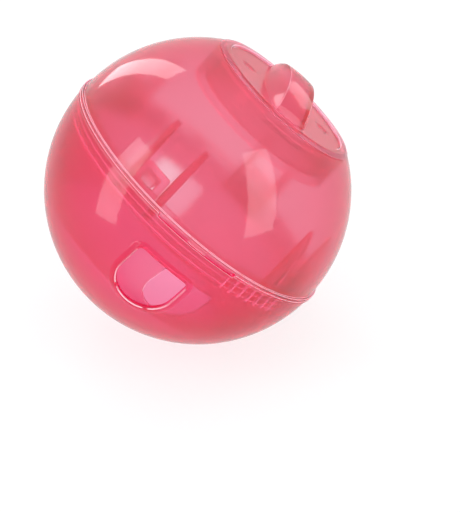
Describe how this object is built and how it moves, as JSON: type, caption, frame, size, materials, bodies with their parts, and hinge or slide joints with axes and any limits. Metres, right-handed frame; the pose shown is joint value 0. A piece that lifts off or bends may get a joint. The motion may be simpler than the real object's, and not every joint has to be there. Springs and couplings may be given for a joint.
{
  "type": "treat ball",
  "caption": "Hollow two-part ball that drops treats through side windows as it rolls; an inner ring works as shutter, and a lid with a grip bar closes the filling neck.",
  "frame": {"origin": "centre of the ball", "axes": "+Z along the ball's axis towards the lid; -Y through the middle of one shutter window"},
  "size_m": [0.103, 0.103, 0.1025],
  "materials": {
    "upper_plastic": "translucent pink moulded plastic, glossy",
    "lower_plastic": "translucent pink moulded plastic, glossy",
    "ring_plastic": "translucent pink moulded plastic, glossy",
    "lid_plastic": "translucent pink moulded plastic, glossy"
  },
  "bodies": {
    "upper": {"upper_shell": "upper_plastic", "shutter_ring": "ring_plastic"},
    "lower": {"lower_shell": "lower_plastic"},
    "lid": {"lid": "lid_plastic"}
  },
  "joints": [
    {"name": "window_turn", "type": "hinge", "parent": "upper", "child": "lower", "pos_m": [0, 0, 0], "axis": [0, 0, 1], "range_deg": [-13.5, 13.5]},
    {"name": "lid_lift", "type": "slide", "parent": "upper", "child": "lid", "axis": [0, 0, 1], "range_m": [0, 0.02]}
  ]
}
